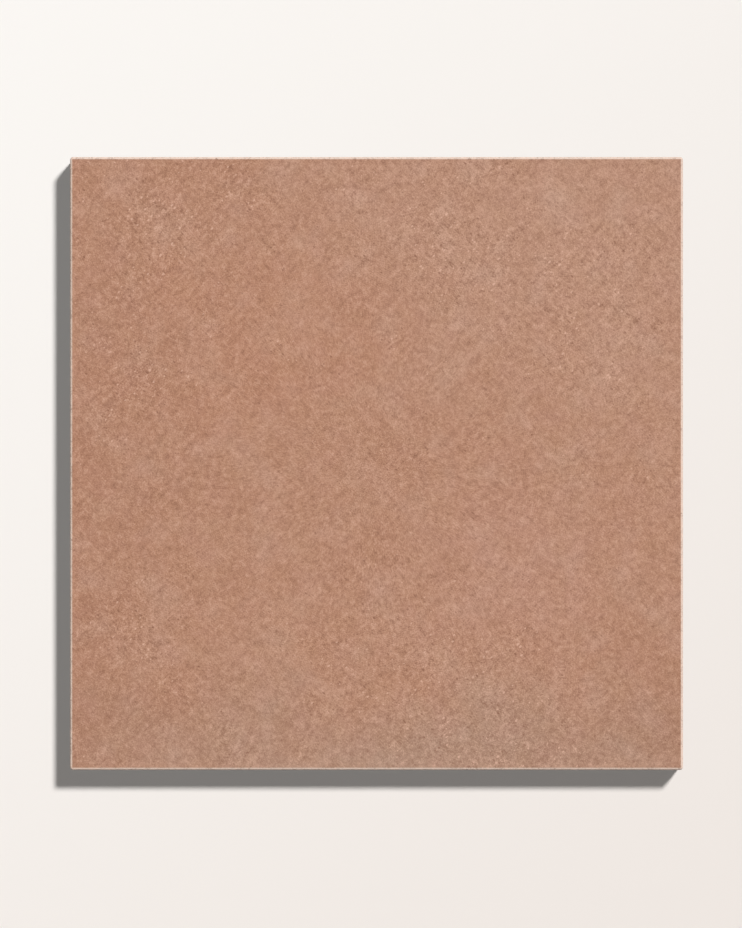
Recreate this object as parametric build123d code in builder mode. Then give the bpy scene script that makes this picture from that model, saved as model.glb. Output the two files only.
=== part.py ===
from build123d import *
import os
from math import floor, radians, tan

# A square porcelain field tile, pressed from powder and fired as one piece.
# It lies on its back with the face up. Sizes are in millimetres, angles in degrees.
# The origin is the middle of the bedding plane, and +Z is up through the face.

# Format of the tile
tile_width = 200.0
tile_length = 200.0
tile_thickness = 9.0

# Section of the edge, from the face down to the back
arris_radius = 0.6
face_corner_radius = 0.4
land_height = 3.5
wall_draft = 2.5
back_chamfer = 0.5
chamfer_angle = 45.0

# Keying cells pressed into the back, with a plain border left around them
cell_size = 12.5
cell_corner_cut = 1.5
cell_depth = 0.8
cell_draft = 25.0
rib_width = 2.5
back_border = 10.0

# Plan corner around the arris, so that the face keeps its own corner radius inside it
corner_radius = face_corner_radius + arris_radius

# How far the back stands in from the land on each side
lower_wall_height = tile_thickness - land_height
back_inset = lower_wall_height * tan(radians(wall_draft)) + back_chamfer

cell_pitch = cell_size + rib_width


def cells_along(tile_side):
    """How many whole cells, with ribs between them, fit between the borders of a side."""
    return floor((tile_side - 2 * back_border + rib_width) / cell_pitch)


# One keying cell, as the punch leaves it: narrower at its floor than at its mouth
with BuildPart() as keying_cell:
    with BuildSketch() as cell_mouth:
        Rectangle(cell_size, cell_size)
        chamfer(cell_mouth.vertices(), cell_corner_cut)
    extrude(amount=cell_depth, taper=cell_draft)

with BuildPart() as field_tile:
    # Upright land under the face, where neighbouring tiles come closest
    with BuildSketch(Plane.XY.offset(lower_wall_height)):
        RectangleRounded(tile_width, tile_length, corner_radius)
    extrude(amount=land_height)

    # Lower wall, which leans in toward the back so that the tile leaves its mould
    land_underside = field_tile.faces().sort_by(Axis.Z).first
    extrude(land_underside, amount=lower_wall_height, taper=wall_draft)

    # Chamfer around the back, cut by four slopes that rise from the bedding plane
    with BuildSketch():
        Rectangle(tile_width - 2 * back_inset, tile_length - 2 * back_inset)
    extrude(amount=tile_thickness, taper=-chamfer_angle, mode=Mode.INTERSECT)

    # Fine rounded arris around the face
    tile_face = field_tile.faces().sort_by(Axis.Z).last
    fillet(tile_face.edges(), arris_radius)

    # Waffle of cells that the bedding mortar keys into
    with GridLocations(cell_pitch, cell_pitch, cells_along(tile_width), cells_along(tile_length)):
        add(keying_cell.part, mode=Mode.SUBTRACT)

field_tile.part.label = "field_tile"

os.makedirs("parts", exist_ok=True)
export_step(field_tile.part, "parts/field_tile.step")
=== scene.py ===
import math

import bmesh
import bpy
import numpy as np
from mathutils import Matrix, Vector, noise


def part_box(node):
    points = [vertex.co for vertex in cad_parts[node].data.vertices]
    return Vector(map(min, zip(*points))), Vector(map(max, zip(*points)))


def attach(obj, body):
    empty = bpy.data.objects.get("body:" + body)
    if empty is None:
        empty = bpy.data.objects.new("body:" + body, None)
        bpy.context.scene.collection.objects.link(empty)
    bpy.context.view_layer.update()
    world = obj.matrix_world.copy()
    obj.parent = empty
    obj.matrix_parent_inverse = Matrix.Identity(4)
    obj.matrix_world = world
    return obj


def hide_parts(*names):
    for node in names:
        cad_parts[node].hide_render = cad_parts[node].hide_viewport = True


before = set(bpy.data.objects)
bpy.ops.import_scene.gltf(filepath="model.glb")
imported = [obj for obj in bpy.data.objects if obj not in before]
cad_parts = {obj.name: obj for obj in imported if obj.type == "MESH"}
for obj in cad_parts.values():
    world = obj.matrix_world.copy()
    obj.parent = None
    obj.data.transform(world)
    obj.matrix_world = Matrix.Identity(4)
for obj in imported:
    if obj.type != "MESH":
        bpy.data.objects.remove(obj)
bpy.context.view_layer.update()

# One fired porcelain field tile on a pale floor, seen from straight above.
# Sizes of the tile and places on it are in millimetres from the middle of its back,
# with +X right and +Y up in the photograph. Blender's own lengths are in metres.
MM = 0.001

# Outline and thickness, from the frame
low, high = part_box("field_tile")
HALF_SIZE = np.array([high.x - low.x, high.y - low.y]) / 2 / MM
THICKNESS = (high.z - low.z) / MM

# Section of the edge, from the face down to the back
ARRIS_RADIUS = 0.6
ARRIS_STEPS = 4
FACE_CORNER_RADIUS = 0.4
LAND_HEIGHT = 3.5
WALL_DRAFT = math.radians(2.5)
BACK_CHAMFER = 0.5
SHARP_ANGLE = math.radians(40.0)

# Keying cells on the back, with their lips and floors eased, and a flat margin by the chamfer
CELL_SIZE = 12.5
RIB_WIDTH = 2.5
BACK_BORDER = 10.0
BACK_MARGIN = 2.0
CELL_DEPTH = 0.8
CELL_CORNER_RADIUS = 1.8
LEAST_CORNER_RADIUS = 0.2
# Each ring of a cell: how far it stands in from the cell's mouth, and its share of the depth
CELL_RINGS = ((-0.15, 0.0), (0.08, 0.12), (0.40, 0.88), (0.75, 1.0), (1.60, 1.0))

# Grid of the face: steps each way, how many widen at each edge, and the first one's share of a step
FACE_STEPS = 264
EDGE_STEPS = 10
FIRST_STEP = 0.25

# Fine relief of the face: size and height of each swell, and how far in from the arris it fades out
RELIEF = ((30.0, 0.030), (8.0, 0.014), (2.4, 0.012))
RELIEF_FADE = 2.0

# Regions of the surface: the face, four sides from the near one round, and the back
FACE_REGION = 0
FIRST_SIDE = 1
ACROSS_SIDES = (1, 3)
BACK_REGION = 5
# Which of the face, edge and back materials each region has
REGION_MATERIALS = np.array([0, 1, 1, 1, 1, 2])

# Map of the surface, in shares of its side: the face, the back beside it and the sides as strips above
MAP_MARGIN = 0.008
MAP_FACE = 0.66
MAP_BACK = 0.316
MAP_STRIP_LENGTH = 0.98
MAP_STRIP_HEIGHT = 0.047

# Photograph: its frame, and the square in it that the tile fills, in its pixels
PHOTO_WIDTH = 742
PHOTO_HEIGHT = 928
SQUARE_LEFT = 70
SQUARE_RIGHT = 683
SQUARE_TOP = 157
SQUARE_BOTTOM = 770

# Camera, in Blender's own units
LENS = 200.0
SENSOR = 36.0
NEAR_CLIP = 0.01

# Light: how far the shadow reaches past the left and lower edges, the sun's breadth and the sky's share
SHADOW_LEFT = 5.9
SHADOW_DOWN = 7.0
SUN_SPREAD = math.radians(9.0)
SKY_SHARE = 0.215

# Floor, in metres: the rings of its level disc, and the rim that curves up around it
FLOOR_TURNS = 96
FLOOR_RADIUS = 5.0
FLOOR_RINGS = (0.02, 0.5, FLOOR_RADIUS)
RIM_RADIUS = 0.9
RIM_ANGLES = np.linspace(0.1, 1.4, 14)
# How much of the floor's darkening runs to the right and down the photograph, and how far it goes each way
FLOOR_RIGHT_SHARE = 0.4
FLOOR_DOWN_SHARE = 0.6
FLOOR_FADE = 0.75
# Where the floor turns into the pale background, in shares of its radius
BACKGROUND_START = 0.4
BACKGROUND_END = 0.9


def seen(red, green, blue):
    """A colour as it is seen on a screen, 0 to 255, as the linear values that Blender takes."""
    shares = [value / 255 for value in (red, green, blue)]
    linear = [s / 12.92 if s <= 0.04045 else ((s + 0.055) / 1.055) ** 2.4 for s in shares]
    return (*linear, 1.0)


# Colours of the face
CLAY = seen(181, 133, 107)
DEEP_CLAY = seen(160, 106, 80)
EMBER = seen(190, 122, 88)
PALE_GRAIN = seen(233, 189, 166)
DARK_GRAIN = seen(133, 89, 66)
VEIL = seen(240, 230, 218)
ASH = seen(158, 146, 132)
ROSE = seen(203, 155, 144)
OCHRE = seen(180, 138, 98)
ARRIS_PALE = seen(223, 201, 186)

# Colours of the fired body, of the wash on its back and of the floor
BODY = seen(178, 140, 118)
BODY_PALE = seen(212, 182, 162)
BODY_DARK = seen(138, 98, 78)
KILN_WASH = seen(233, 228, 219)
FLOOR_PALE = seen(251, 248, 244)
FLOOR_DEEP = seen(237, 229, 223)

# Soft patches on the face: colour, middle, reach each way and strength
PATCHES = (
    (VEIL, (66.0, 84.0), (130.0, 92.0), 0.055),
    (VEIL, (80.0, 25.0), (70.0, 60.0), 0.016),
    (DEEP_CLAY, (-100.0, 0.0), (62.0, 120.0), 0.18),
    (EMBER, (-32.0, 44.0), (64.0, 50.0), 0.14),
    (ROSE, (45.0, -36.0), (50.0, 44.0), 0.16),
    (ASH, (8.0, -98.0), (160.0, 38.0), 0.34),
    (DARK_GRAIN, (100.0, -100.0), (70.0, 74.0), 0.15),
    (DARK_GRAIN, (-100.0, -90.0), (66.0, 70.0), 0.11),
)
# How far the outlines of the patches wander, and the size of their bends
PATCH_DRIFT = 16.0
PATCH_BEND = 36.0

# Clouds on the face: size, and what each turns to where it is pale and where it is deep
CLOUDS = (
    (24.0, VEIL, 0.026, DEEP_CLAY, 0.085),
    (12.0, VEIL, 0.054, DEEP_CLAY, 0.110),
    (8.0, ROSE, 0.120, OCHRE, 0.120),
    (6.0, PALE_GRAIN, 0.092, DARK_GRAIN, 0.142),
)

# How far in from the arris its pale colour fades into the face
PALE_FADE = 0.2

# Crowds of flecks on the face: middle and reach
CROWDS = (
    ((-70.0, 80.0), 50.0),
    ((-80.0, 27.0), 36.0),
    ((22.0, 74.0), 48.0),
    ((70.0, 52.0), 46.0),
    ((8.0, -66.0), 46.0),
    ((40.0, -84.0), 50.0),
    ((-80.0, -52.0), 30.0),
)
# How thick the crowds are, and how strong and how large the thick and thin places in them are
CROWD_STRENGTH = 0.70
CROWD_SWELL_STRENGTH = 0.60
CROWD_SWELL = 13.0

# Grain of the face: slanting strokes, sand, finer grit and broader clumps
STROKE_SLANT = math.radians(45.0)
STROKE_WIDTH = 1.3
STROKE_STRETCH = 1.5
SAND_SIZE = 0.85
SAND_DETAIL = 1.0
GRIT_SIZE = 0.42
CLUMP_SIZE = 2.4
# Where strokes rise and where they fall: the size of such places and how clearly they differ
SLANT_SWELL = 13.0
SLANT_CONTRAST = 1.3

# Strength of each part of the grain, and of the whole outside the crowds and what a crowd adds to it
STROKE_STRENGTH = 1.5
SAND_STRENGTH = 1.8
GRIT_STRENGTH = 1.7
CLUMP_STRENGTH = 0.66
GRAIN_STRENGTH = 0.79
GRAIN_CROWDING = 0.35

# Pale flecks of the face, its dark specks of painted pit shade (there are no hollows under them), and dark
# specks of the body, as Graph.specks takes them
FLECKS = {"spacing": 1.2, "start": 0.84, "full": 1.30, "radius": 0.48}
FLECK_CROWDING = 0.19
PIT_SHADE_SPECKS = {"spacing": 1.3, "start": 0.82, "full": 1.15, "radius": 0.38}
PIT_SHADE_CROWDING = 0.08
BODY_SPECKS = {"spacing": 1.6, "start": 0.82, "full": 1.0, "radius": 0.14}
# Radius of a speck at its start, below nought so that it doesn't show, and softness of its outline
HIDDEN_RADIUS = -0.10
SPECK_EDGE = 0.05

# How strongly each part of the face's grain colours it, and how high it stands
GRAIN_PALE_TINT = 0.33
GRAIN_DARK_TINT = 0.50
FLECK_TINT = 0.50
# How dark the painted pit shade makes the face
PIT_SHADE_TINT = 0.55
SAND_RELIEF = 0.050
GRIT_RELIEF = 0.035

# Soft noise over the face: falloff of its layers, how much finer each is than the last, and how many
SWELL_FALLOFF = 1.0
SWELL_STEP = 2.0
SWELL_LAYERS = 3
# Seeds of the soft noises. A cloud's seed is its size
DRIFT_SEEDS = (1.0, 2.0)
CROWD_SEED = 5.0
SLANT_SEED = 6.0
CLUMP_SEED = 7.0

# Grain of the body: broad clouds, and grog that is pale or dark where its noise is high or low
BODY_CLOUD_SIZE = 7.0
GROG_SIZE = 0.45
BODY_DETAIL = 2.0
NOISE_LOW = 0.25
NOISE_HIGH = 0.75
GROG_PALE_START = 0.50
GROG_DARK_START = 0.48
BODY_CLOUD_TINT = 0.20
GROG_TINT = 0.60
BODY_SPECK_TINT = 0.60

# Uneven end of the face's colour on the arris: its depth below the face, its size and height, and its fade
COAT_REACH = 0.275
COAT_RAG_SIZE = 1.1
COAT_RAG_DETAIL = 3.0
COAT_RAG_HEIGHT = 0.45
COAT_FADE_BELOW = 0.10
COAT_FADE_ABOVE = 0.06

# Upright marks that the mould drags on the edge, and how high they and the grain stand there
DRAG_SQUEEZE = (1.0, 1.0, 0.08)
DRAG_SIZE = 0.5
DRAG_DETAIL = 1.0
DRAG_RELIEF = 0.05
EDGE_RELIEF = 0.05

# Kiln wash on the back: heights at which it ends and is whole, its patches and its thickness in them
WASH_END = 0.30
WASH_WHOLE = 0.05
WASH_PATCH_SIZE = 9.0
WASH_DETAIL = 4.0
WASH_PATCH_RANGE = (0.30, 0.70)
WASH_THICKNESS = (0.06, 0.32)
BACK_RELIEF = 0.06

# Mattness: range of the grain or wash, and the roughness at its ends
FACE_GRAIN_RANGE = (-0.8, 0.8)
FACE_ROUGHNESS = (0.62, 0.80)
EDGE_GRAIN_RANGE = (0.2, 0.8)
EDGE_ROUGHNESS = (0.70, 0.85)
BACK_WASH_RANGE = (0.0, 1.0)
BACK_ROUGHNESS = (0.74, 0.90)
SPECULAR_LEVEL = 0.35


class Graph:
    """Short ways to add nodes to a material's tree. Each way but node returns an output."""

    def __init__(self, tree):
        self.tree = tree

    def node(self, kind, inputs, **settings):
        made = self.tree.nodes.new(kind)
        for name, value in settings.items():
            setattr(made, name, value)
        for key, value in inputs.items():
            if isinstance(value, bpy.types.NodeSocket):
                self.tree.links.new(value, made.inputs[key])
            else:
                made.inputs[key].default_value = value
        return made

    def number(self, operation, first, second=0.0):
        made = self.node("ShaderNodeMath", {0: first, 1: second}, operation=operation)
        return made.outputs[0]

    def vector(self, operation, first, second):
        made = self.node("ShaderNodeVectorMath", {0: first, 1: second}, operation=operation)
        return made.outputs[0]

    def along(self, where, angle, stretch):
        """The place in a frame turned by the angle, in which patterns are drawn out along it."""
        inputs = {"Vector": where, "Rotation": (0.0, 0.0, angle), "Scale": (stretch, 1.0, 1.0)}
        return self.node("ShaderNodeMapping", inputs, vector_type="TEXTURE").outputs[0]

    def noise(self, where, size, detail=0.0, flat=False):
        """Noise from 0 to 1. Flat noise doesn't change with height."""
        inputs = {"Vector": where, "Scale": 1 / size, "Detail": detail}
        made = self.node("ShaderNodeTexNoise", inputs, noise_dimensions="2D" if flat else "3D")
        return made.outputs[0]

    def specks(self, where, spacing, start, full, radius, crowding=(), flat=False):
        """Round specks, about a spacing apart: 1 inside, 0 outside.
        Each has a number of its own from 0 to 1, to which crowding adds pairs of a value and its strength.
        As the sum goes from start to full, the speck grows from hidden to the radius, in spacings."""
        inputs = {"Vector": where, "Scale": 1 / spacing}
        made = self.node("ShaderNodeTexVoronoi", inputs, voronoi_dimensions="2D" if flat else "3D")
        points = made.outputs
        own = self.node("ShaderNodeSeparateColor", {0: points["Color"]}).outputs[0]
        own_radius = self.fade(self.total((*crowding, (own, 1.0))), start, full, HIDDEN_RADIUS, radius)
        outside = self.number("SUBTRACT", points["Distance"], own_radius)
        return self.fade(outside, SPECK_EDGE, -SPECK_EDGE)

    def fade(self, value, start, end, begin=0.0, finish=1.0):
        inputs = {0: value, 1: start, 2: end, 3: begin, 4: finish}
        return self.node("ShaderNodeMapRange", inputs, interpolation_type="SMOOTHSTEP").outputs[0]

    def total(self, layers):
        """The sum of pairs of a value and its strength."""
        result = 0.0
        for value, strength in layers:
            inputs = {0: value, 1: strength, 2: result}
            result = self.node("ShaderNodeMath", inputs, operation="MULTIPLY_ADD").outputs[0]
        return result

    def mix(self, amount, first, second):
        inputs = {0: amount, 6: first, 7: second}
        return self.node("ShaderNodeMix", inputs, data_type="RGBA").outputs[2]

    def millimetres(self):
        """The place on the tile, in millimetres."""
        place = self.node("ShaderNodeTexCoord", {}).outputs["Object"]
        return self.vector("MULTIPLY", place, (1 / MM, 1 / MM, 1 / MM))

    def parts(self, vector):
        """The three numbers of a vector."""
        return self.node("ShaderNodeSeparateXYZ", {0: vector}).outputs

    def stored(self, name):
        """A value kept with the points of the mesh."""
        return self.node("ShaderNodeAttribute", {}, attribute_name=name).outputs["Vector"]


def new_material(name):
    material = bpy.data.materials.new(name)
    material.use_nodes = True
    material.node_tree.nodes.clear()
    return material, Graph(material.node_tree)


def finish_material(graph, colour, roughness, height):
    """Ends a tree in a matte fired surface. The height is in millimetres."""
    bump = graph.node("ShaderNodeBump", {"Height": height, "Distance": MM, "Strength": 1.0})
    inputs = {"Base Color": colour, "Roughness": roughness, "Normal": bump.outputs[0]}
    shader = graph.node("ShaderNodeBsdfPrincipled", inputs)
    shader.inputs["Specular IOR Level"].default_value = SPECULAR_LEVEL
    graph.node("ShaderNodeOutputMaterial", {"Surface": shader.outputs[0]})


def swells(places, size, seed):
    """Soft noise with swells of this size, about nought, at each place. Its grid lies slantwise."""
    x, y = places.T
    slanted = np.stack([x + y, y - x], 1) / math.sqrt(2) / size
    shape = (SWELL_FALLOFF, SWELL_STEP, SWELL_LAYERS)
    return np.array([noise.fractal(Vector((u, v, seed)), *shape) for u, v in slanted])


def soft_patch(places, middle, reach):
    """1 at the middle, falling softly to 0 at the reach along X and Y."""
    share = np.clip(1 - np.linalg.norm((places - middle) / reach, axis=1), 0, 1)
    return share * share * (3 - 2 * share)


def inside_arris(places):
    """How far in from the arris each place on the face lies."""
    return (HALF_SIZE - ARRIS_RADIUS - np.abs(places)).min(axis=-1)


def blend(tones, colour, share):
    return tones + (np.array(colour[:3]) - tones) * share[:, None]


def face_tones(places):
    """The face's colour at each place without its grain: clay with patches, clouds and a pale arris."""
    drift = PATCH_DRIFT * np.stack([swells(places, PATCH_BEND, seed) for seed in DRIFT_SEEDS], 1)
    tones = np.tile(CLAY[:3], (len(places), 1))
    for colour, middle, reach, strength in PATCHES:
        tones = blend(tones, colour, strength * soft_patch(places + drift, middle, reach))
    for size, paler, pale_strength, deeper, deep_strength in CLOUDS:
        cloud = swells(places, size, size)
        tones = blend(tones, paler, pale_strength * np.maximum(cloud, 0))
        tones = blend(tones, deeper, deep_strength * np.maximum(-cloud, 0))
    return blend(tones, ARRIS_PALE, np.clip(1 - inside_arris(places) / PALE_FADE, 0, 1))


def fleck_crowds(places):
    """How thickly flecks and the dark specks of painted pit shade lie at each place, from 0 to 1."""
    crowd = np.zeros(len(places))
    for middle, reach in CROWDS:
        crowd = np.maximum(crowd, soft_patch(places, middle, reach))
    swell = CROWD_SWELL_STRENGTH * swells(places, CROWD_SWELL, CROWD_SEED)
    return np.clip(CROWD_STRENGTH * crowd + swell, 0, 1)


def rising_shares(places):
    """How far the strokes at each place rise to the right rather than fall, from 0 to 1."""
    return np.clip(0.5 + SLANT_CONTRAST * swells(places, SLANT_SWELL, SLANT_SEED), 0, 1)


def face_coat(graph, spot):
    """Colour of the face, its grain about nought, and the height of that grain in millimetres.
    The grain is sandy, with short strokes that slant one way or the other from place to place."""
    crowd, rising_share, clumps = graph.parts(graph.stored("face_marks"))
    turned = graph.along(spot, STROKE_SLANT, 1.0)
    uphill = graph.along(spot, STROKE_SLANT, STROKE_STRETCH)
    downhill = graph.along(spot, -STROKE_SLANT, STROKE_STRETCH)
    rising = graph.noise(uphill, STROKE_WIDTH, flat=True)
    falling = graph.noise(downhill, STROKE_WIDTH, flat=True)
    strokes = graph.node("ShaderNodeMix", {0: rising_share, 2: falling, 3: rising}).outputs[0]
    sand = graph.noise(turned, SAND_SIZE, SAND_DETAIL, flat=True)
    grit = graph.noise(turned, GRIT_SIZE, flat=True)
    grain = graph.total((
        (strokes, STROKE_STRENGTH),
        (sand, SAND_STRENGTH),
        (grit, GRIT_STRENGTH),
        (clumps, CLUMP_STRENGTH),
        (1.0, -(STROKE_STRENGTH + SAND_STRENGTH + GRIT_STRENGTH) / 2),
    ))
    strength = graph.total(((crowd, GRAIN_CROWDING), (1.0, GRAIN_STRENGTH)))
    grain = graph.number("MULTIPLY", grain, strength)
    flecks = graph.specks(uphill, crowding=((crowd, FLECK_CROWDING),), flat=True, **FLECKS)
    # Painted shade of pits: dark specks, with no hollow under them
    pit_shade = graph.specks(downhill, crowding=((crowd, PIT_SHADE_CROWDING),), flat=True, **PIT_SHADE_SPECKS)
    colour = graph.stored("face_tone")
    for layer, tint, tint_colour in (
        (grain, GRAIN_PALE_TINT, PALE_GRAIN),
        (grain, -GRAIN_DARK_TINT, DARK_GRAIN),
        (flecks, FLECK_TINT, PALE_GRAIN),
        (pit_shade, PIT_SHADE_TINT, DARK_GRAIN),
    ):
        amount = graph.number("MAXIMUM", graph.number("MULTIPLY", layer, tint), 0.0)
        colour = graph.mix(amount, colour, tint_colour)
    height = graph.total(((sand, SAND_RELIEF), (grit, GRIT_RELIEF)))
    return colour, grain, height


def body_coat(graph, spot):
    """Colour of the fired body and its grain: clay with pale and dark grog and sparse dark specks."""
    cloud = graph.noise(spot, BODY_CLOUD_SIZE, BODY_DETAIL)
    grain = graph.noise(spot, GROG_SIZE, BODY_DETAIL)
    specks = graph.specks(spot, **BODY_SPECKS)
    clouded = graph.fade(cloud, NOISE_LOW, NOISE_HIGH, 0.0, BODY_CLOUD_TINT)
    pale_grog = graph.fade(grain, GROG_PALE_START, NOISE_HIGH, 0.0, GROG_TINT)
    dark_grog = graph.fade(grain, GROG_DARK_START, NOISE_LOW, 0.0, GROG_TINT)
    colour = graph.mix(clouded, BODY, BODY_DARK)
    colour = graph.mix(pale_grog, colour, BODY_PALE)
    colour = graph.mix(dark_grog, colour, BODY_DARK)
    colour = graph.mix(graph.number("MULTIPLY", specks, BODY_SPECK_TINT), colour, BODY_DARK)
    return colour, grain


def face_material():
    """The matte face."""
    material, graph = new_material("fired_face")
    colour, grain, height = face_coat(graph, graph.millimetres())
    finish_material(graph, colour, graph.fade(grain, *FACE_GRAIN_RANGE, *FACE_ROUGHNESS), height)
    return material


def edge_material():
    """The edge. The face's colour ends unevenly on the arris, and the bare body shows below it."""
    material, graph = new_material("fired_edge")
    spot = graph.millimetres()
    face, _, _ = face_coat(graph, spot)
    body, grain = body_coat(graph, spot)
    _, _, rise = graph.parts(spot)
    rags = graph.noise(spot, COAT_RAG_SIZE, COAT_RAG_DETAIL)
    ragged_rise = graph.total(((rags, COAT_RAG_HEIGHT), (rise, 1.0)))
    coat_end = THICKNESS - COAT_REACH + COAT_RAG_HEIGHT / 2
    coat = graph.fade(ragged_rise, coat_end - COAT_FADE_BELOW, coat_end + COAT_FADE_ABOVE)
    drag_marks = graph.noise(graph.vector("MULTIPLY", spot, DRAG_SQUEEZE), DRAG_SIZE, DRAG_DETAIL)
    height = graph.total(((grain, EDGE_RELIEF), (drag_marks, DRAG_RELIEF)))
    roughness = graph.fade(grain, *EDGE_GRAIN_RANGE, *EDGE_ROUGHNESS)
    finish_material(graph, graph.mix(coat, body, face), roughness, height)
    return material


def back_material():
    """The back: bare body in the cells, and a thin uneven kiln wash on the ribs and the border."""
    material, graph = new_material("fired_back")
    spot = graph.millimetres()
    body, grain = body_coat(graph, spot)
    _, _, rise = graph.parts(spot)
    on_ribs = graph.fade(rise, WASH_END, WASH_WHOLE)
    patches = graph.noise(spot, WASH_PATCH_SIZE, WASH_DETAIL)
    patchy = graph.fade(patches, *WASH_PATCH_RANGE, *WASH_THICKNESS)
    wash = graph.number("MULTIPLY", on_ribs, patchy)
    height = graph.number("MULTIPLY", grain, BACK_RELIEF)
    roughness = graph.fade(wash, *BACK_WASH_RANGE, *BACK_ROUGHNESS)
    finish_material(graph, graph.mix(wash, body, KILN_WASH), roughness, height)
    return material


def rounded(points, half, radius):
    """Moves points on rectangles of these half sizes onto arcs of this radius at their corners."""
    radius = np.broadcast_to(radius, (len(points), 1))
    past = np.abs(points) - (half - radius)
    at_corner = (past > 0).all(axis=1, keepdims=True)
    span = np.where(at_corner, np.linalg.norm(past, axis=1, keepdims=True), 1.0)
    moved = np.sign(points) * (half - radius + past * radius / span)
    return np.where(at_corner, moved, points)


def crossings(across, along):
    """Values of two sets of lines at each place where they cross, row by row."""
    return np.stack([g.ravel() for g in np.meshgrid(across, along)], 1)


def ring_of(lines):
    """Places round a square from -1 to 1, through its lines, and how far round each lies, 0 to 4."""
    ahead = lines[:-1]
    back = lines[:0:-1]
    ones = np.ones(len(ahead))
    places = np.concatenate([
        np.stack([ahead, -ones], 1),
        np.stack([ones, ahead], 1),
        np.stack([back, ones], 1),
        np.stack([-ones, back], 1),
    ])
    share = (ahead + 1) / 2
    share_back = (1 - back) / 2
    return places, np.concatenate([share, 1 + share, 2 + share_back, 3 + share_back])


def grid_numbers(first, count):
    """Vertex numbers of a square grid of this many lines each way, row by row."""
    return first + np.arange(count * count).reshape(count, count)


def grid_ring(first, count):
    """Vertex numbers round the border of a square grid of this many lines, in ring_of's order."""
    numbers = grid_numbers(first, count)
    sides = [numbers[0, :-1], numbers[:-1, -1], numbers[-1, :0:-1], numbers[:0:-1, 0]]
    return np.concatenate(sides)


def grid_faces(first, count):
    """Four-sided faces of a square grid of this many lines."""
    numbers = grid_numbers(first, count)
    corners = [numbers[:-1, :-1], numbers[:-1, 1:], numbers[1:, 1:], numbers[1:, :-1]]
    return np.stack([c.ravel() for c in corners], 1).tolist()


def bridge(outer, outer_at, inner, inner_at):
    """Triangles between two rings with different numbers of points, by how far round each lies."""
    last_outer = len(outer)
    last_inner = len(inner)
    outer = [*outer, outer[0]]
    inner = [*inner, inner[0]]
    outer_at = [*outer_at, 4.0]
    inner_at = [*inner_at, 4.0]
    faces = []
    a = 0
    b = 0
    while a < last_outer or b < last_inner:
        step_outer = b == last_inner or (a < last_outer and outer_at[a + 1] <= inner_at[b + 1])
        if step_outer:
            faces.append([outer[a], outer[a + 1], inner[b]])
            a += 1
        else:
            faces.append([outer[a], inner[b + 1], inner[b]])
            b += 1
    return faces


def face_lines():
    """Lines of the face's grid, from -1 to 1, closer together near the edges."""
    steps = np.ones(FACE_STEPS)
    ease = np.linspace(FIRST_STEP, 1.0, EDGE_STEPS, endpoint=False)
    steps[:EDGE_STEPS] = ease
    steps[-EDGE_STEPS:] = ease[::-1]
    lines = np.concatenate([[0.0], np.cumsum(steps)])
    return 2 * lines / lines[-1] - 1


def face_level(x, y):
    """Height of the face at a place, with its fine relief, which fades out before the arris."""
    fade = min(max(inside_arris([x, y]) / RELIEF_FADE, 0.0), 1.0)
    relief = 0.0
    for size, height in RELIEF:
        relief += height * (noise.noise(Vector((x / size, y / size, size))) - 1)
    return THICKNESS + fade * relief


def edge_rings():
    """Rings down the edge, from the border of the face to the back: inset from the side, and height."""
    rings = []
    for step in range(ARRIS_STEPS + 1):
        turn = math.pi / 2 * step / ARRIS_STEPS
        inset = ARRIS_RADIUS * (1 - math.sin(turn))
        drop = ARRIS_RADIUS * (1 - math.cos(turn))
        rings.append((inset, THICKNESS - drop))
    lean = math.tan(WALL_DRAFT)
    land_foot = THICKNESS - LAND_HEIGHT
    chamfer_top = BACK_CHAMFER / (1 - lean)
    rings.append((0.0, land_foot))
    rings.append((lean * (land_foot - chamfer_top), chamfer_top))
    rings.append((lean * land_foot + BACK_CHAMFER, 0.0))
    return rings


def back_lines():
    """Lines across the back, which is square: the place of each, the middle of the cell that it
    belongs to, and which of the cell's rings it is, or -1 on the border."""
    half, _ = HALF_SIZE
    pitch = CELL_SIZE + RIB_WIDTH
    count = math.floor((2 * half - 2 * BACK_BORDER + RIB_WIDTH) / pitch)
    middles = pitch * (np.arange(count) - (count - 1) / 2)
    back_inset, _ = edge_rings()[-1]
    border = half - (back_inset + BACK_MARGIN)
    lines = [(-border, 0.0, -1), (border, 0.0, -1)]
    for middle in middles:
        for number, (inset, _) in enumerate(CELL_RINGS):
            reach = CELL_SIZE / 2 - inset
            lines.append((middle - reach, middle, number))
            lines.append((middle + reach, middle, number))
    lines.sort()
    return [np.array(column) for column in zip(*lines)]


def back_points():
    """Points of the back's grid, with its keying cells, and the lines of that grid."""
    lines, middle, ring = back_lines()
    places = crossings(lines, lines)
    middles = crossings(middle, middle)
    own_ring = crossings(ring, ring).min(axis=1)
    in_cell = own_ring >= 0
    ring_insets, ring_shares = np.array(CELL_RINGS).T
    insets = ring_insets[own_ring]
    depths = CELL_DEPTH * ring_shares[own_ring]
    half = np.repeat((CELL_SIZE / 2 - insets)[:, None], 2, 1)
    radius = np.maximum(CELL_CORNER_RADIUS - insets, LEAST_CORNER_RADIUS)[:, None]
    eased = rounded(places - middles, half, radius)
    flat = np.where(in_cell[:, None], eased + middles, places)
    return np.column_stack([flat, np.where(in_cell, depths, 0.0)]), lines


class Shell:
    """The tile's surface as it grows: points with their way down the edge, and faces with their region."""

    def __init__(self):
        self.points = []
        self.way_down = []
        self.faces = []
        self.regions = []

    def add_points(self, points, way_down=0.0):
        """Adds points and returns their numbers."""
        numbers = len(self.points) + np.arange(len(points))
        self.points.extend(points)
        self.way_down.extend([way_down] * len(points))
        return numbers

    def add_faces(self, faces, regions):
        self.faces.extend(faces)
        self.regions.extend(regions)


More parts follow.
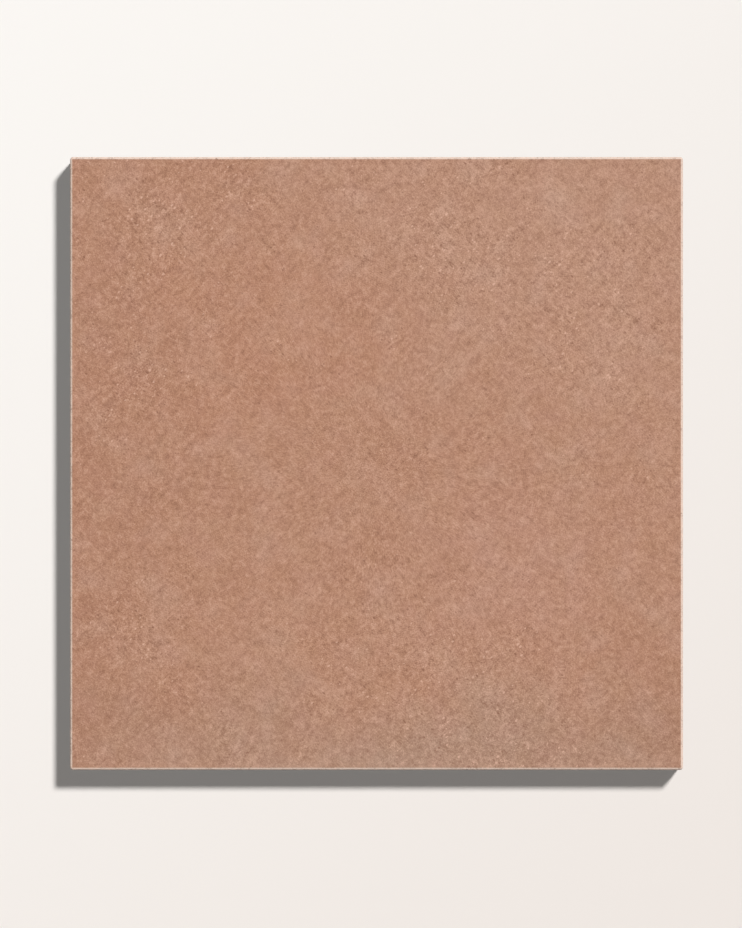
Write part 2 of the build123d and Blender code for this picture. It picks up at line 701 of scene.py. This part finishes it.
def add_face(shell, lines):
    """Adds the face and returns the numbers of its border, which is the first ring of the edge."""
    inset, _ = edge_rings()[0]
    half = HALF_SIZE - inset
    places, _ = ring_of(lines)
    grid = crossings(lines, lines) * half
    border = grid_ring(0, len(lines))
    grid[border] = rounded(places * half, half, FACE_CORNER_RADIUS)
    shell.add_points([(x, y, face_level(x, y)) for x, y in grid])
    faces = grid_faces(0, len(lines))
    shell.add_faces(faces, [FACE_REGION] * len(faces))
    return border


def add_edge(shell, lines, upper):
    """Adds the edge, ring by ring from the upper one, and returns the numbers of the last ring."""
    places, _ = ring_of(lines)
    sides = FIRST_SIDE + np.arange(len(places)) // (len(lines) - 1)
    rings = edge_rings()
    way_down = 0.0
    for (last_inset, last_height), (inset, height) in zip(rings[:-1], rings[1:]):
        half = HALF_SIZE - inset
        way_down += math.hypot(inset - last_inset, height - last_height)
        outline = rounded(places * half, half, FACE_CORNER_RADIUS + ARRIS_RADIUS - inset)
        lower = shell.add_points([(x, y, height) for x, y in outline], way_down)
        faces = np.stack([upper, lower, np.roll(lower, -1), np.roll(upper, -1)], 1)
        shell.add_faces(faces.tolist(), sides.tolist())
        upper = lower
    return upper


def add_back(shell, lines, edge):
    """Adds the back with its keying cells, and the flat margin between it and the end of the edge."""
    waffle, waffle_lines = back_points()
    count = len(waffle_lines)
    first = shell.add_points([tuple(point) for point in waffle])[0]
    _, edge_at = ring_of(lines)
    _, waffle_at = ring_of(waffle_lines / waffle_lines[-1])
    faces = grid_faces(first, count)
    faces += bridge(edge.tolist(), edge_at, grid_ring(first, count).tolist(), waffle_at)
    shell.add_faces(faces, [BACK_REGION] * len(faces))


def lay_out_map(mesh, regions, way_down):
    """Gives the mesh a map with one place for each region of the surface."""
    layer = mesh.uv_layers.new(name="OFBake")
    vertex = np.empty(len(mesh.loops), np.int32)
    mesh.loops.foreach_get("vertex_index", vertex)
    sides = np.empty(len(mesh.polygons), np.int32)
    mesh.polygons.foreach_get("loop_total", sides)
    region = np.repeat(regions, sides)
    points = np.empty(3 * len(mesh.vertices))
    mesh.vertices.foreach_get("co", points)
    points = points.reshape(-1, 3)[vertex] / MM
    x_share, y_share = ((points[:, :2] / HALF_SIZE + 1) / 2).T
    along = np.where(np.isin(region, ACROSS_SIDES), x_share, y_share)
    down = way_down[vertex] / way_down.max()
    strip_foot = MAP_MARGIN + MAP_FACE + (MAP_MARGIN + MAP_STRIP_HEIGHT) * (region - FIRST_SIDE)
    back_foot = MAP_FACE + MAP_MARGIN
    on_face = region == FACE_REGION
    on_back = region == BACK_REGION
    u = np.where(on_back, back_foot + x_share * MAP_BACK, along * MAP_STRIP_LENGTH)
    v = np.where(on_back, y_share * MAP_BACK, strip_foot + down * MAP_STRIP_HEIGHT)
    u = np.where(on_face, x_share * MAP_FACE, u)
    v = np.where(on_face, y_share * MAP_FACE, v)
    layer.data.foreach_set("uv", (np.stack([u, v], 1) + MAP_MARGIN).ravel())


def keep_with_points(mesh, places, count):
    """Keeps the face's tones and marks with the first points of the mesh, those of the face and edge."""
    coloured = places[:count]
    tones = np.zeros((len(places), 3))
    tones[:count] = face_tones(coloured)
    marks = np.zeros((len(places), 3))
    marks[:count, 0] = fleck_crowds(coloured)
    marks[:count, 1] = rising_shares(coloured)
    marks[:count, 2] = swells(coloured, CLUMP_SIZE, CLUMP_SEED)
    for name, values in (("face_tone", tones), ("face_marks", marks)):
        attribute = mesh.attributes.new(name, "FLOAT_VECTOR", "POINT")
        attribute.data.foreach_set("vector", values.ravel())


def turn_outward(mesh):
    """Turns every face of a closed mesh outward."""
    whole = bmesh.new()
    whole.from_mesh(mesh)
    bmesh.ops.recalc_face_normals(whole, faces=whole.faces)
    whole.to_mesh(mesh)
    whole.free()


def build_tile():
    """The whole tile as one closed mesh."""
    shell = Shell()
    lines = face_lines()
    border = add_face(shell, lines)
    edge = add_edge(shell, lines, border)
    coloured_count = len(shell.points)
    add_back(shell, lines, edge)
    points = np.array(shell.points)
    regions = np.array(shell.regions)

    mesh = bpy.data.meshes.new("porcelain_tile")
    mesh.from_pydata((points * MM).tolist(), [], shell.faces)
    turn_outward(mesh)
    lay_out_map(mesh, regions, np.array(shell.way_down))
    for material in (face_material(), edge_material(), back_material()):
        mesh.materials.append(material)
    mesh.polygons.foreach_set("material_index", REGION_MATERIALS[regions])
    keep_with_points(mesh, points[:, :2], coloured_count)
    mesh.polygons.foreach_set("use_smooth", np.ones(len(regions), bool))
    mesh.set_sharp_from_angle(angle=SHARP_ANGLE)
    tile = bpy.data.objects.new("porcelain_tile", mesh)
    # As in the photograph, the floor takes no colour from the tile's lit sides
    tile.visible_diffuse = False
    bpy.context.scene.collection.objects.link(tile)
    return tile


def floor_material():
    """Pale floor that darkens softly from the upper left to the lower right of the photograph.
    Far off, it shows its colour to the camera as a pale background, without lighting the tile."""
    material, graph = new_material("pale_floor")
    place = graph.node("ShaderNodeTexCoord", {}).outputs["Object"]
    x, y, _ = graph.parts(place)
    metres_per_pixel = 2 * HALF_SIZE * MM / (SQUARE_RIGHT - SQUARE_LEFT)
    across, along = metres_per_pixel * (PHOTO_WIDTH, PHOTO_HEIGHT)
    darkening = graph.total(((x, FLOOR_RIGHT_SHARE / across), (y, -FLOOR_DOWN_SHARE / along)))
    colour = graph.mix(graph.fade(darkening, -FLOOR_FADE, FLOOR_FADE), FLOOR_PALE, FLOOR_DEEP)
    lit = graph.node("ShaderNodeBsdfDiffuse", {"Color": colour}).outputs[0]
    shown = graph.node("ShaderNodeEmission", {"Color": colour, "Strength": 1.0}).outputs[0]
    rays = graph.node("ShaderNodeLightPath", {}).outputs
    direct = graph.number("MAXIMUM", rays["Is Camera Ray"], rays["Is Glossy Ray"])
    direct = graph.number("MAXIMUM", direct, rays["Is Transmission Ray"])
    far_off = graph.node("ShaderNodeVectorMath", {0: place}, operation="LENGTH").outputs["Value"]
    in_background = graph.fade(far_off, BACKGROUND_START * FLOOR_RADIUS, BACKGROUND_END * FLOOR_RADIUS)
    shown_share = graph.number("MULTIPLY", direct, in_background)
    surface = graph.node("ShaderNodeMixShader", {0: shown_share, 1: lit, 2: shown})
    graph.node("ShaderNodeOutputMaterial", {"Surface": surface.outputs[0]})
    return material


def build_floor():
    """A wide round floor with a low rim that curves up at its edge."""
    profile = [(radius, 0.0) for radius in FLOOR_RINGS]
    for angle in RIM_ANGLES:
        radius = FLOOR_RADIUS + RIM_RADIUS * math.sin(angle)
        profile.append((radius, RIM_RADIUS * (1 - math.cos(angle))))
    turns = 2 * math.pi * np.arange(FLOOR_TURNS) / FLOOR_TURNS
    points = [(r * math.cos(a), r * math.sin(a), z) for r, z in profile for a in turns]
    numbers = np.arange(len(points)).reshape(len(profile), FLOOR_TURNS)
    after = np.roll(numbers, -1, axis=1)
    corners = [numbers[:-1], numbers[1:], after[1:], after[:-1]]
    faces = [numbers[0].tolist()]
    faces += np.stack([c.ravel() for c in corners], 1).tolist()
    mesh = bpy.data.meshes.new("floor")
    mesh.from_pydata(points, [], faces)
    mesh.polygons.foreach_set("use_smooth", np.ones(len(faces), bool))
    mesh.materials.append(floor_material())
    floor = bpy.data.objects.new("floor", mesh)
    bpy.context.scene.collection.objects.link(floor)


def light_scene():
    """One broad sun from the upper right and an even sky, which together light a level surface at 1."""
    travel = Vector((-SHADOW_LEFT, -SHADOW_DOWN, -THICKNESS)).normalized()
    lamp = bpy.data.lights.new("sun", "SUN")
    lamp.energy = (1 - SKY_SHARE) * math.pi / -travel.z
    lamp.angle = SUN_SPREAD
    sun = bpy.data.objects.new("sun", lamp)
    sun.rotation_mode = "QUATERNION"
    sun.rotation_quaternion = travel.to_track_quat("-Z", "Y")
    bpy.context.scene.collection.objects.link(sun)
    world = bpy.data.worlds.new("sky")
    world.use_nodes = True
    background = world.node_tree.nodes["Background"]
    background.inputs["Color"].default_value = (1.0, 1.0, 1.0, 1.0)
    background.inputs["Strength"].default_value = SKY_SHARE
    bpy.context.scene.world = world


def place_camera():
    """Straight above the face, with the tile in the photograph's square."""
    metres_per_pixel = 2 * HALF_SIZE[0] * MM / (SQUARE_RIGHT - SQUARE_LEFT)
    right_of_middle = (SQUARE_LEFT + SQUARE_RIGHT) / 2 - PHOTO_WIDTH / 2
    below_middle = (SQUARE_TOP + SQUARE_BOTTOM) / 2 - PHOTO_HEIGHT / 2
    distance = metres_per_pixel * PHOTO_HEIGHT * LENS / SENSOR
    data = bpy.data.cameras.new("camera")
    data.lens = LENS
    data.sensor_width = SENSOR
    data.clip_start = NEAR_CLIP
    camera = bpy.data.objects.new("camera", data)
    camera.location = (
        -right_of_middle * metres_per_pixel,
        below_middle * metres_per_pixel,
        THICKNESS * MM + distance,
    )
    bpy.context.scene.collection.objects.link(camera)
    bpy.context.scene.camera = camera


tile = build_tile()
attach(tile, "root")
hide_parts("field_tile")
build_floor()
light_scene()
place_camera()
bpy.context.scene.view_settings.view_transform = "Standard"
